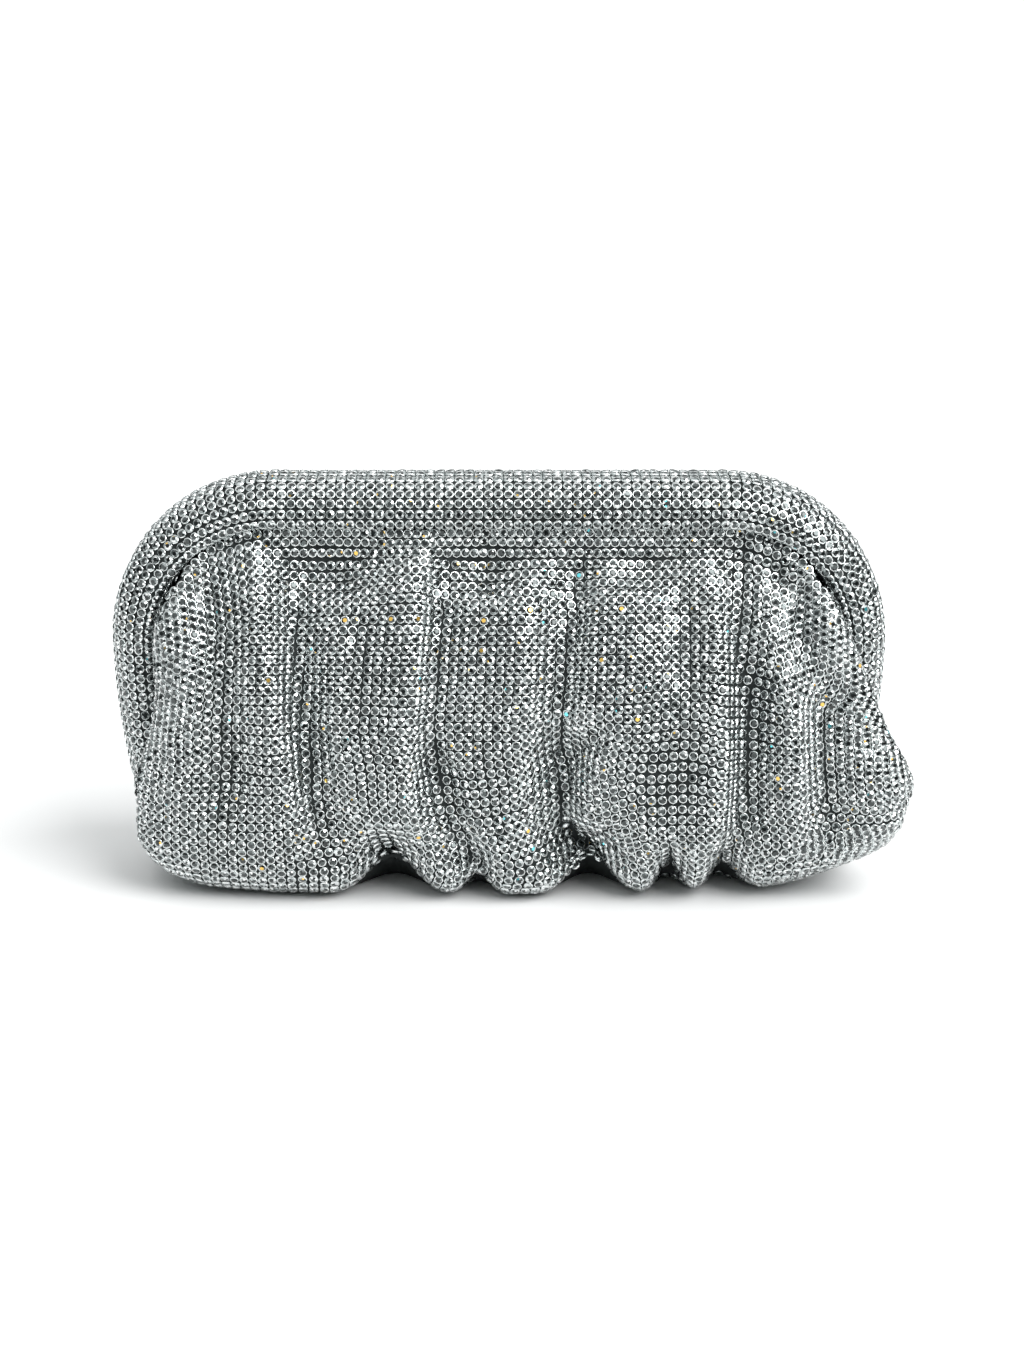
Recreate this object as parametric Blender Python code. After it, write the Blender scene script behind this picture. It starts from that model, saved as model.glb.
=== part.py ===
"""An evening clutch: a rigid inverted-U frame in two halves, and a gathered pouch hung in it.

Metres, +Z up. The front faces -Y, and the bag rests on z = 0 with its middle at the origin.
"""

import math

import bmesh
import bpy
import numpy as np
from mathutils import Vector

# Frame: an inverted U, measured over the outside of its padded roll.
FRAME_WIDTH = 0.254
FRAME_HEIGHT = 0.138
CORNER_RADIUS = 0.054
LEG_FOOT_HEIGHT = 0.033
LEG_TUCK = 0.0053
HALF_DEPTH = 0.015
FACE = 0.015
FRAME_WALL = 0.002
FLANGE = 0.008
SEAM_DROP = 0.0008

# Clearances: between pieces that touch, and each side of the mouth's seam and of the pouch's seams.
SEAT = 0.0003
SEAM_GAP = 0.0002
SIDE_SEAM = 0.0004

# Pouch: half its depth where it is fullest, its cloth, and how far its rim goes up into the channel.
POUCH_HALF_DEPTH = 0.036
CLOTH = 0.0015
RIM_RISE = 0.004
BACK_CHEEK = 0.35
CHEEK_TURN = 0.22
NECK_START = 0.35
SIDE_IN_FRAME = 0.94
SIDE_BELOW = 0.45
SIDE_SWELL = 0.25
SIDE_COLUMNS = 2

# Columns of a panel at its left cheek, between the cheeks and at its right cheek, and where the cheeks start,
# as a share of half the frame's width.
FRONT_COLUMNS = (14, 32, 20)
BACK_COLUMNS = (6, 13, 6)
CHEEK_START = 0.55

# Folds: the share of a fold's length in which it rises at each end, how sharply its steep side turns, and the
# distances in which folds fade beside the legs, at the sides, under the roll and where the bag rests.
FOLD_END = 0.30
FOLD_SHARPNESS = 3.0
FADE_BESIDE_LEG = 0.16 * POUCH_HALF_DEPTH
FADE_AT_SIDE = 0.04 * FRAME_WIDTH
FADE_UNDER_ROLL = 0.03 * FRAME_HEIGHT
FADE_AT_REST = 0.012 * FRAME_HEIGHT
SIDE_MARGIN = 0.97

# Roll of the frame: how much of its height the arch takes, its turns as shares of a quarter circle, and its
# belly just above the lip.
ARCH_SHARE = 0.8
ARCH_TURNS = (0.22, 0.44, 0.64, 0.82, 1.0)
BELLY_DROP = 0.95
BELLY_DEPTH = 0.93
LEG_STATIONS = 5
CORNER_STATIONS = 10

# Hidden hardware.
PIN_RADIUS = 0.002
PIN_LENGTH = 0.012
CLASP_LENGTH = 0.024
CLASP_THICKNESS = 0.003
CLASP_HEIGHT = 0.005

# Pouch sections from the rim down. "height" is a share of the frame's height, "front" and "back" are shares
# of the pouch's half depth, "square" is how boxy the section is, and "left" and "right" are how far the
# cheeks reach past the frame's inner edge, as shares of half the frame's width.
SECTIONS = [
    # height, front, back, square, left, right
    (0.9200, 0.205, 0.205, 5.0, 0.000, 0.000),
    (0.8892, 0.205, 0.205, 6.0, 0.000, 0.000),
    (0.8866, 0.380, 0.380, 8.0, 0.000, 0.000),
    (0.8650, 0.388, 0.388, 8.0, 0.000, 0.000),
    (0.8450, 0.405, 0.405, 7.0, 0.000, 0.000),
    (0.8200, 0.440, 0.440, 6.0, 0.000, 0.000),
    (0.7850, 0.520, 0.510, 4.8, 0.000, 0.004),
    (0.7300, 0.655, 0.630, 3.6, 0.000, 0.012),
    (0.6600, 0.780, 0.750, 3.4, 0.000, 0.030),
    (0.5800, 0.880, 0.850, 3.4, 0.000, 0.064),
    (0.5000, 0.945, 0.920, 3.4, 0.008, 0.102),
    (0.4200, 0.980, 0.970, 3.4, 0.036, 0.142),
    (0.3400, 1.000, 1.000, 3.4, 0.076, 0.196),
    (0.2800, 1.000, 1.000, 3.4, 0.104, 0.230),
    (0.2150, 1.000, 0.980, 3.3, 0.114, 0.224),
    (0.1550, 0.985, 0.935, 3.2, 0.116, 0.188),
    (0.1000, 0.955, 0.870, 3.1, 0.090, 0.124),
    (0.0550, 0.900, 0.780, 3.0, 0.046, 0.030),
    (0.0220, 0.800, 0.670, 3.0, -0.014, -0.060),
    (0.0060, 0.680, 0.560, 3.0, -0.070, -0.120),
    (0.0000, 0.560, 0.460, 3.0, -0.110, -0.155),
]

# Heights of the pouch's rings between its rim and its bottom, as shares of the frame's height.
RINGS = [
    0.8892, 0.8866, 0.868, 0.848, 0.822, 0.790, 0.750, 0.700, 0.640, 0.575, 0.505,
    0.435, 0.365, 0.300, 0.239, 0.205, 0.165, 0.120, 0.080, 0.045, 0.020, 0.006,
]

# Folds of the front, from its left to its right. The fold's line runs through "top", "middle" and "low",
# shares of half the frame's width, between the heights "from" and "to", shares of the frame's height. "rise"
# is how far it stands out, a share of the pouch's half depth, and a valley's is negative. "reach" is its half
# width, a share of half the frame's width. "steep" makes its right side steeper, or its left side where it is
# negative.
FRONT_FOLDS = [
    # top, middle, low, from, to, rise, reach, steep
    (-0.870, -0.800, -0.800, 0.88, 0.06, 0.070, 0.065, 0.0),
    (-0.720, -0.690, -0.690, 0.90, 0.15, -0.150, 0.070, 0.0),
    (-0.640, -0.585, -0.500, 0.98, 0.04, 0.150, 0.080, 0.5),
    (-0.523, -0.500, -0.420, 0.90, 0.06, -0.140, 0.046, -0.3),
    (-0.425, -0.400, -0.385, 0.76, 0.20, 0.070, 0.050, 0.2),
    (-0.185, -0.205, -0.240, 0.98, 0.10, 0.150, 0.058, 0.5),
    (-0.150, -0.172, -0.195, 0.90, 0.24, -0.115, 0.044, -0.3),
    (-0.190, -0.130, -0.062, 0.46, 0.02, -0.200, 0.052, 0.0),
    (-0.060, -0.036, -0.030, 0.58, 0.12, -0.090, 0.080, 0.0),
    (0.050, 0.065, 0.075, 0.86, 0.34, 0.065, 0.056, 0.2),
    (0.235, 0.165, 0.150, 0.92, 0.24, -0.150, 0.048, 0.3),
    (0.280, 0.160, 0.260, 0.50, 0.00, -0.330, 0.060, 0.3),
    (0.335, 0.340, 0.340, 0.92, 0.32, 0.100, 0.120, 0.0),
    (0.485, 0.487, 0.490, 0.80, 0.50, -0.095, 0.056, 0.0),
    (0.500, 0.570, 0.520, 0.88, 0.00, 0.140, 0.060, 0.3),
    (0.600, 0.640, 0.600, 0.72, 0.06, -0.180, 0.056, 0.0),
    (0.611, 0.611, 0.585, 0.94, 0.56, -0.070, 0.046, 0.0),
    (0.676, 0.750, 0.780, 0.72, 0.06, 0.110, 0.052, 0.0),
    (0.750, 0.820, 0.885, 0.94, 0.52, 0.090, 0.052, 0.0),
    (0.760, 0.775, 0.780, 0.86, 0.56, -0.080, 0.048, 0.0),
    (0.830, 0.840, 0.845, 0.64, 0.10, -0.140, 0.056, 0.0),
    (0.960, 0.980, 0.970, 0.42, 0.06, 0.060, 0.080, 0.0),
]

# Recesses under the roll, between the pleats that come straight down from it.
FRONT_RECESSES = [
    # top, middle, low, from, to, rise, reach, steep
    (-0.430, -0.430, -0.430, 0.95, 0.72, -0.125, 0.090, 0.0),
    (-0.030, -0.030, -0.030, 0.95, 0.72, -0.125, 0.090, 0.0),
    (0.365, 0.365, 0.365, 0.95, 0.72, -0.125, 0.095, 0.0),
    (0.730, 0.730, 0.730, 0.94, 0.73, -0.070, 0.050, 0.0),
]

# Hollows between the lobes of the bottom edge.
FRONT_HOLLOWS = [
    # top, middle, low, from, to, rise, reach, steep
    (-0.300, -0.275, -0.265, 0.24, -0.30, -0.380, 0.080, 0.0),
    (-0.055, -0.055, -0.055, 0.19, -0.30, -0.190, 0.040, 0.0),
    (0.240, 0.240, 0.240, 0.26, -0.30, -0.380, 0.070, 0.0),
    (0.445, 0.445, 0.445, 0.20, -0.30, -0.260, 0.040, 0.0),
    (0.590, 0.590, 0.590, 0.22, -0.30, -0.260, 0.050, 0.0),
]

BACK_FOLDS = [
    # top, middle, low, from, to, rise, reach, steep
    (-0.720, -0.690, -0.640, 0.88, 0.10, 0.140, 0.065, 0.0),
    (-0.570, -0.545, -0.500, 0.84, 0.14, -0.150, 0.052, 0.0),
    (-0.430, -0.400, -0.380, 0.90, -0.10, 0.130, 0.055, 0.3),
    (-0.280, -0.260, -0.270, 0.80, -0.20, -0.170, 0.050, 0.0),
    (-0.140, -0.120, -0.140, 0.90, 0.10, 0.130, 0.055, 0.0),
    (0.020, 0.040, 0.010, 0.78, -0.20, -0.160, 0.052, 0.0),
    (0.180, 0.200, 0.170, 0.90, 0.05, 0.130, 0.055, -0.3),
    (0.340, 0.350, 0.330, 0.82, -0.20, -0.165, 0.050, 0.0),
    (0.480, 0.500, 0.470, 0.90, 0.10, 0.130, 0.055, 0.0),
    (0.620, 0.640, 0.610, 0.84, -0.10, -0.150, 0.050, 0.0),
    (0.760, 0.780, 0.740, 0.88, 0.12, 0.120, 0.055, 0.0),
]

# Colours: crystal cloth and plated metal.
SILVER_CLOTH = (0.55, 0.58, 0.58, 1.0)
PLATED_METAL = (0.62, 0.62, 0.60, 1.0)


def half_width():
    return FRAME_WIDTH / 2


def corner_height():
    return FRAME_HEIGHT - CORNER_RADIUS


def corner_across():
    return half_width() - CORNER_RADIUS


def leg_lean(height):
    """How far the leg's outside has tucked in at this height, below the corner."""
    drop = np.clip((corner_height() - height) / (corner_height() - LEG_FOOT_HEIGHT), 0, 1)
    return LEG_TUCK * drop**2


def inside_frame(height):
    """Half width of the space inside the frame at this height, less the cloth's clearance."""
    radius = CORNER_RADIUS - FACE - 2 * SEAT
    above = np.clip(height - corner_height(), 0, radius)
    return corner_across() + np.sqrt(radius**2 - above**2) - leg_lean(height)


def smooth_value(places, values, at):
    """A cubic through the table's rows that never overshoots them. places go up."""
    step = np.diff(places)
    slope = np.diff(values) / step
    product = slope[1:] * slope[:-1]
    inner = np.where(product > 0, 2 * product / (slope[1:] + slope[:-1] + 1e-12), 0)
    tangent = np.concatenate([slope[:1], inner, slope[-1:]])
    at = np.clip(at, places[0], places[-1])
    k = np.clip(np.searchsorted(places, at) - 1, 0, len(step) - 1)
    t = (at - places[k]) / step[k]
    start = values[k] * (1 + 2 * t) * (1 - t) ** 2 + tangent[k] * step[k] * t * (1 - t) ** 2
    end = values[k + 1] * t**2 * (3 - 2 * t) - tangent[k + 1] * step[k] * t**2 * (1 - t)
    return start + end


def section_value(column, height):
    """One column of the table of sections at this height."""
    table = np.array(SECTIONS[::-1])
    return smooth_value(table[:, 0], table[:, column], height / FRAME_HEIGHT)


def ease(t):
    t = np.clip(t, 0, 1)
    return t * t * (3 - 2 * t)


def neck_foot():
    """Height above which the pouch is narrowed between the legs, just below the hinge pins."""
    return LEG_FOOT_HEIGHT - 2 * (PIN_RADIUS + SEAT)


def neck_share(height):
    """1 where the legs stand beside the pouch, and 0 below them."""
    return ease((height - NECK_START * neck_foot()) / ((1 - NECK_START) * neck_foot()))


def side_depth(height, depth):
    """Half depth of the pouch's side, which stands within the frame where the legs are."""
    within = min(HALF_DEPTH + SEAT, SIDE_IN_FRAME * depth)
    neck = neck_share(height)
    return neck * within + (1 - neck) * SIDE_BELOW * depth


def spread(points, count):
    """Cuts a line of points into count even steps, both ends kept."""
    run = np.concatenate([[0], np.cumsum(np.linalg.norm(np.diff(points, axis=0), axis=1))])
    at = np.linspace(0, run[-1], count + 1)
    return np.stack([np.interp(at, run, points[:, k]) for k in range(2)], axis=1)


def side_wall(edge_x, side, swell):
    """Plan points of a side from its middle to its edge at edge_x, bulging out by swell."""
    away = np.linspace(0, side, SIDE_COLUMNS + 1)[:-1]
    out = swell * (1 - (away / side) ** 2)
    return np.stack([edge_x + math.copysign(1, edge_x) * out, away], axis=1)


def half_ring(height, front):
    """Plan of one half of a ring before its folds, from the left side's middle to the right side's."""
    depth = section_value(1 if front else 2, height) * POUCH_HALF_DEPTH
    square = section_value(3, height)
    side = side_depth(height, depth)
    neck = neck_share(height)
    fullness = 1 if front else 1 - neck * (1 - BACK_CHEEK)
    left = section_value(4, height) * half_width() * fullness
    right = section_value(5, height) * half_width() * fullness

    angle = np.linspace(0, math.pi, 901)
    across = -np.sign(np.cos(angle)) * np.abs(np.cos(angle)) ** (2 / square)
    away = side + (depth - side) * np.abs(np.sin(angle)) ** (2 / square)
    past_leg = ease((away - side) / (CHEEK_TURN * POUCH_HALF_DEPTH))
    reach = np.where(across < 0, -left, right) * (1 - neck * (1 - past_leg))
    x = across * inside_frame(height) + reach * ease(2 * np.abs(across))
    plan = np.stack([x, away], axis=1)
    cheek = CHEEK_START * half_width()
    cuts = [0, np.argmax(x > -cheek), np.argmax(x > cheek), len(x) - 1]
    panel = plan[:1]
    for count, start, stop in zip(FRONT_COLUMNS if front else BACK_COLUMNS, cuts, cuts[1:]):
        panel = np.concatenate([panel, spread(plan[start:stop + 1], count)[1:]])

    swell = SIDE_SWELL * (1 - neck) * side
    left_side = side_wall(x[0], side, swell)
    right_side = side_wall(x[-1], side, swell)
    return np.concatenate([left_side, panel, right_side[::-1]]) * (1, -1 if front else 1)


def ring(height):
    """The whole ring before its folds: left side, front, right side, back."""
    front = half_ring(height, True)
    back = half_ring(height, False)
    plan = np.concatenate([front, back[-2:0:-1]])
    return np.column_stack([plan, np.full(len(plan), height)])


def seam_columns():
    """Where the halves are sewn, as places in a ring: the left side's middle and the right side's."""
    return 0, sum(FRONT_COLUMNS) + 2 * SIDE_COLUMNS


def fold_height(table, x, z):
    """How far the folds of a table lift the cloth at x, z."""
    lift = np.zeros_like(x)
    for top, middle, low, start, end, rise, reach, steep in table:
        along = np.clip((start - z / FRAME_HEIGHT) / (start - end), 0, 1)
        bend = 2 * middle - (top + low) / 2
        line = (1 - along) ** 2 * top + 2 * along * (1 - along) * bend + along**2 * low
        off = (x / half_width() - line) / reach
        off = off * (1 + steep * np.tanh(FOLD_SHARPNESS * off))
        ends = ease(along / FOLD_END) * ease((1 - along) / FOLD_END)
        lift += rise * ends * np.exp(-(off**2))
    return lift * POUCH_HALF_DEPTH


def outward(grid):
    """Unit normals of a closed grid of rings."""
    across = np.roll(grid, -1, axis=1) - np.roll(grid, 1, axis=1)
    down = np.gradient(grid, axis=0)
    normal = np.cross(down, across)
    return normal / (np.linalg.norm(normal, axis=2, keepdims=True) + 1e-12)


def folded(grid):
    """The rings with the folds, recesses and hollows. Only the hollows go on down to the flat bottom."""
    x, y, z = grid[..., 0], grid[..., 1], grid[..., 2]
    above_rest = ease(z / FADE_AT_REST)
    front = fold_height(FRONT_FOLDS + FRONT_RECESSES, x, z) * above_rest + fold_height(FRONT_HOLLOWS, x, z)
    back = fold_height(BACK_FOLDS, x, z) * above_rest
    lift = np.where(y < 0, front, back)
    beside_leg = ease((np.abs(y) - HALF_DEPTH - SEAT) / FADE_BESIDE_LEG)
    inboard = ease((SIDE_MARGIN * inside_frame(z) - np.abs(x)) / FADE_AT_SIDE)
    under_roll = ease((FRAME_HEIGHT - FACE - z) / FADE_UNDER_ROLL)
    away = outward(grid)
    away[..., 2] *= above_rest
    away /= np.linalg.norm(away, axis=2, keepdims=True) + 1e-12
    cloth = grid + away * (lift * np.maximum(beside_leg, inboard) * under_roll)[..., None]
    cloth[..., 2] = np.maximum(cloth[..., 2], 0)
    return cloth


def material(name, colour, roughness, metallic):
    look = bpy.data.materials.new(name)
    look.use_nodes = True
    shader = look.node_tree.nodes["Principled BSDF"]
    shader.inputs["Base Color"].default_value = colour
    shader.inputs["Roughness"].default_value = roughness
    shader.inputs["Metallic"].default_value = metallic
    return look


def add_object(name, bm, look):
    mesh = bpy.data.meshes.new(name)
    bm.to_mesh(mesh)
    bm.free()
    mesh.materials.append(look)
    mesh.shade_smooth()
    piece = bpy.data.objects.new(name, mesh)
    bpy.context.collection.objects.link(piece)
    return piece


def thicken(piece, wall):
    """Gives the sheet a wall on its inner side, which closes it."""
    solidify = piece.modifiers.new("wall", "SOLIDIFY")
    solidify.thickness = wall
    solidify.offset = -1
    solidify.use_even_offset = False


def pouch_rings():
    """The folded rings of the whole pouch, from its rim down."""
    rim = FRAME_HEIGHT - FACE + RIM_RISE
    heights = [rim] + [share * FRAME_HEIGHT for share in RINGS] + [0.0]
    return folded(np.array([ring(height) for height in heights]))


def make_pouch_half(name, cloth, side, look):
    """One half of the bag with its share of the flat bottom. side is -1 in front and +1 behind."""
    left, right = seam_columns()
    if side < 0:
        half = cloth[:, left:right + 1].copy()
    else:
        half = np.concatenate([cloth[:, :1], cloth[:, :right - 1:-1]], axis=1)
    half[:, [0, -1], 1] = side * SIDE_SEAM
    bm = bmesh.new()
    rings = [[bm.verts.new(point) for point in row] for row in half]
    for upper, lower in zip(rings, rings[1:]):
        for k in range(len(upper) - 1):
            corners = (upper[k], lower[k], lower[k + 1], upper[k + 1])
            bm.faces.new(corners if side < 0 else corners[::-1])
    bmesh.ops.triangulate(bm, faces=bm.faces, quad_method="SHORT_EDGE")
    bm.faces.new(rings[-1][::-1] if side < 0 else rings[-1])
    pouch = add_object(name, bm, look)
    thicken(pouch, CLOTH)
    return pouch


def roll_profile():
    """The frame half's outer skin as (depth below the crown, distance from the seam) pairs."""
    points = [(FLANGE + SEAM_DROP, SEAM_GAP), (SEAM_DROP, SEAM_GAP)]
    for share in ARCH_TURNS:
        turn = share * math.pi / 2
        points.append((ARCH_SHARE * FACE * (1 - math.cos(turn)), HALF_DEPTH * math.sin(turn)))
    points.append((BELLY_DROP * FACE, BELLY_DEPTH * HALF_DEPTH))
    points.append((FACE, channel_lip()))
    return points


def channel_lip():
    """Distance of the channel's lip from the seam, just clear of the pouch's rim."""
    return section_value(1, FRAME_HEIGHT - FACE) * POUCH_HALF_DEPTH + SEAT


def frame_stations():
    """Points on the crown of the frame from the left foot to the right one, with the way out of the frame."""
    stations = []
    for height in np.linspace(LEG_FOOT_HEIGHT, corner_height(), LEG_STATIONS + 1)[:-1]:
        stations.append((-(half_width() - float(leg_lean(height))), float(height), -1.0, 0.0))
    for turn in np.linspace(math.pi, math.pi / 2, CORNER_STATIONS):
        x = -corner_across() + CORNER_RADIUS * math.cos(turn)
        z = corner_height() + CORNER_RADIUS * math.sin(turn)
        stations.append((x, z, math.cos(turn), math.sin(turn)))
    mirrored = [(-x, z, -out_x, out_z) for x, z, out_x, out_z in reversed(stations)]
    return stations + mirrored


def make_frame_half(name, side, look):
    """One half of the frame: its profile carried along the U. side is -1 in front and +1 behind."""
    profile = roll_profile()
    bm = bmesh.new()
    rows = []
    for x, z, out_x, out_z in frame_stations():
        places = [(x - out_x * drop, side * away, z - out_z * drop) for drop, away in profile]
        rows.append([bm.verts.new(place) for place in places])
    for here, there in zip(rows, rows[1:]):
        for k in range(len(profile) - 1):
            corners = (here[k], here[k + 1], there[k + 1], there[k])
            bm.faces.new(corners if side < 0 else corners[::-1])
    half = add_object(name, bm, look)
    thicken(half, FRAME_WALL)
    return half


def make_pin(name, side, look):
    """A hinge pin across the foot of one leg."""
    outer = half_width() - LEG_TUCK - FRAME_WALL
    bm = bmesh.new()
    bmesh.ops.create_cone(
        bm, cap_ends=True, segments=12, radius1=PIN_RADIUS, radius2=PIN_RADIUS, depth=PIN_LENGTH
    )
    pin = add_object(name, bm, look)
    pin.location = (side * (outer - PIN_LENGTH / 2), 0, LEG_FOOT_HEIGHT - SEAT - PIN_RADIUS)
    pin.rotation_euler = (0, math.pi / 2, 0)
    return pin


def make_clasp(look):
    """The magnet bar against the front flange, inside the channel."""
    bm = bmesh.new()
    bmesh.ops.create_cube(bm, size=1)
    bmesh.ops.scale(bm, vec=(CLASP_LENGTH, CLASP_THICKNESS, CLASP_HEIGHT), verts=bm.verts)
    clasp = add_object("clasp", bm, look)
    flange_back = SEAM_GAP + FRAME_WALL + SEAT
    top = FRAME_HEIGHT - SEAM_DROP - 2 * FRAME_WALL
    clasp.location = (0, -(flange_back + CLASP_THICKNESS / 2), top - CLASP_HEIGHT / 2)
    clasp.data.shade_flat()
    return clasp


def centre(pieces):
    """Moves the bag so that its box stands with its middle on the origin."""
    bpy.context.view_layer.update()
    corners = [piece.matrix_world @ Vector(corner) for piece in pieces for corner in piece.bound_box]
    low = [min(corner[k] for corner in corners) for k in range(3)]
    high = [max(corner[k] for corner in corners) for k in range(3)]
    for piece in pieces:
        piece.location.x -= (low[0] + high[0]) / 2
        piece.location.y -= (low[1] + high[1]) / 2


def main():
    for old in list(bpy.data.objects):
        bpy.data.objects.remove(old, do_unlink=True)
    cloth_look = material("crystal_cloth", SILVER_CLOTH, 0.35, 0.6)
    metal_look = material("plated_metal", PLATED_METAL, 0.3, 1.0)
    cloth = pouch_rings()
    pieces = [
        make_frame_half("front_frame", -1, cloth_look),
        make_frame_half("back_frame", 1, cloth_look),
        make_pouch_half("pouch_front", cloth, -1, cloth_look),
        make_pouch_half("pouch_back", cloth, 1, cloth_look),
        make_pin("hinge_pin_left", -1, metal_look),
        make_pin("hinge_pin_right", 1, metal_look),
        make_clasp(metal_look),
    ]
    centre(pieces)


main()
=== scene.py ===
"""Evening clutch: crystal cloth gathered on a rounded frame, standing on a pale floor.

Metres, +Z up, and the front with its gathers faces -Y, as in the construction model.
"""

import math

import bmesh
import bpy
import numpy as np
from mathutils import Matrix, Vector


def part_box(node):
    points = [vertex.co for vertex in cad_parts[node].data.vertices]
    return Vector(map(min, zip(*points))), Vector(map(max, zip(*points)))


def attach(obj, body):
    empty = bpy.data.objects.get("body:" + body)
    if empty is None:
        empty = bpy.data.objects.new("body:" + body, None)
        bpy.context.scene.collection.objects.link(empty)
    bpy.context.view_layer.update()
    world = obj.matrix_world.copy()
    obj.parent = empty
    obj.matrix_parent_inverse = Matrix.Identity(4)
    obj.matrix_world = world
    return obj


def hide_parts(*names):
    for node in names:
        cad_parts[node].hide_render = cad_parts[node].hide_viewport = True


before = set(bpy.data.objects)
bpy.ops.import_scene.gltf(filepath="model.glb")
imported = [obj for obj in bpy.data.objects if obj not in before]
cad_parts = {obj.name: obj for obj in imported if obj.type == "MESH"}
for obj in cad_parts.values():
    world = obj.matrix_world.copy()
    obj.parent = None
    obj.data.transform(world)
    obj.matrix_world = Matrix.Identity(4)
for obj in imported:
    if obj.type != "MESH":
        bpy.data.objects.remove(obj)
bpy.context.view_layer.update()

# Frame: an inverted U, measured over the outside of its padded roll.
FRAME_WIDTH = 0.254
FRAME_HEIGHT = 0.138
CORNER_RADIUS = 0.054
LEG_FOOT_HEIGHT = 0.033
LEG_TUCK = 0.0053
HALF_DEPTH = 0.015
FACE = 0.015
SEAM_DROP = 0.0008
SEAM_GAP = 0.0002
SEAT = 0.0003
PIN_RADIUS = 0.002
ARCH_SHARE = 0.8
BELLY_DROP = 0.95
BELLY_DEPTH = 0.93
UNDERSIDE_DEPTH = 0.72

# Pouch: half its depth where it is fullest, its cheeks, its neck between the legs and its sides.
POUCH_HALF_DEPTH = 0.036
RIM_RISE = 0.004
BACK_CHEEK = 0.35
CHEEK_TURN = 0.22
CHEEK_START = 0.55
NECK_START = 0.35
SIDE_IN_FRAME = 0.94
SIDE_BELOW = 0.45
SIDE_SWELL = 0.25

# Folds: how they end, how sharply a steep side turns, and where they fade. The cups ease into the recesses
# over a little more height than the construction model, so that no row stands bare under the roll.
FOLD_END = 0.30
FOLD_SHARPNESS = 3.0
FADE_BESIDE_LEG = 0.16 * POUCH_HALF_DEPTH
FADE_AT_SIDE = 0.04 * FRAME_WIDTH
FADE_UNDER_ROLL = 0.03 * FRAME_HEIGHT
RECESS_EASED = 0.08 * FRAME_HEIGHT
FADE_AT_REST = 0.012 * FRAME_HEIGHT
SIDE_MARGIN = 0.97

# Sections of the pouch from its rim down, as in the construction model.
SECTIONS = [
    # height, front, back, square, left, right
    (0.9200, 0.205, 0.205, 5.0, 0.000, 0.000),
    (0.8892, 0.205, 0.205, 6.0, 0.000, 0.000),
    (0.8866, 0.380, 0.380, 8.0, 0.000, 0.000),
    (0.8650, 0.388, 0.388, 8.0, 0.000, 0.000),
    (0.8450, 0.405, 0.405, 7.0, 0.000, 0.000),
    (0.8200, 0.440, 0.440, 6.0, 0.000, 0.000),
    (0.7850, 0.520, 0.510, 4.8, 0.000, 0.004),
    (0.7300, 0.655, 0.630, 3.6, 0.000, 0.012),
    (0.6600, 0.780, 0.750, 3.4, 0.000, 0.030),
    (0.5800, 0.880, 0.850, 3.4, 0.000, 0.064),
    (0.5000, 0.945, 0.920, 3.4, 0.008, 0.102),
    (0.4200, 0.980, 0.970, 3.4, 0.036, 0.142),
    (0.3400, 1.000, 1.000, 3.4, 0.076, 0.196),
    (0.2800, 1.000, 1.000, 3.4, 0.104, 0.230),
    (0.2150, 1.000, 0.980, 3.3, 0.114, 0.224),
    (0.1550, 0.985, 0.935, 3.2, 0.116, 0.188),
    (0.1000, 0.955, 0.870, 3.1, 0.090, 0.124),
    (0.0550, 0.900, 0.780, 3.0, 0.046, 0.030),
    (0.0220, 0.800, 0.670, 3.0, -0.014, -0.060),
    (0.0060, 0.680, 0.560, 3.0, -0.070, -0.120),
    (0.0000, 0.560, 0.460, 3.0, -0.110, -0.155),
]

FRONT_FOLDS = [
    # top, middle, low, from, to, rise, reach, steep
    (-0.870, -0.800, -0.800, 0.88, 0.06, 0.070, 0.065, 0.0),
    (-0.720, -0.690, -0.690, 0.90, 0.15, -0.150, 0.070, 0.0),
    (-0.640, -0.585, -0.500, 0.98, 0.04, 0.150, 0.080, 0.5),
    (-0.523, -0.500, -0.420, 0.90, 0.06, -0.140, 0.046, -0.3),
    (-0.425, -0.400, -0.385, 0.76, 0.20, 0.070, 0.050, 0.2),
    (-0.185, -0.205, -0.240, 0.98, 0.10, 0.150, 0.058, 0.5),
    (-0.150, -0.172, -0.195, 0.90, 0.24, -0.115, 0.044, -0.3),
    (-0.190, -0.130, -0.062, 0.46, 0.02, -0.200, 0.052, 0.0),
    (-0.060, -0.036, -0.030, 0.58, 0.12, -0.090, 0.080, 0.0),
    (0.050, 0.065, 0.075, 0.86, 0.34, 0.065, 0.056, 0.2),
    (0.235, 0.165, 0.150, 0.92, 0.24, -0.150, 0.048, 0.3),
    (0.280, 0.160, 0.260, 0.50, 0.00, -0.330, 0.060, 0.3),
    (0.335, 0.340, 0.340, 0.92, 0.32, 0.100, 0.120, 0.0),
    (0.485, 0.487, 0.490, 0.80, 0.50, -0.095, 0.056, 0.0),
    (0.500, 0.570, 0.520, 0.88, 0.00, 0.140, 0.060, 0.3),
    (0.600, 0.640, 0.600, 0.72, 0.06, -0.180, 0.056, 0.0),
    (0.611, 0.611, 0.585, 0.94, 0.56, -0.070, 0.046, 0.0),
    (0.676, 0.750, 0.780, 0.72, 0.06, 0.110, 0.052, 0.0),
    (0.750, 0.820, 0.885, 0.94, 0.52, 0.090, 0.052, 0.0),
    (0.760, 0.775, 0.780, 0.86, 0.56, -0.080, 0.048, 0.0),
    (0.830, 0.840, 0.845, 0.64, 0.10, -0.140, 0.056, 0.0),
    (0.960, 0.980, 0.970, 0.42, 0.06, 0.060, 0.080, 0.0),
]

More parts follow.
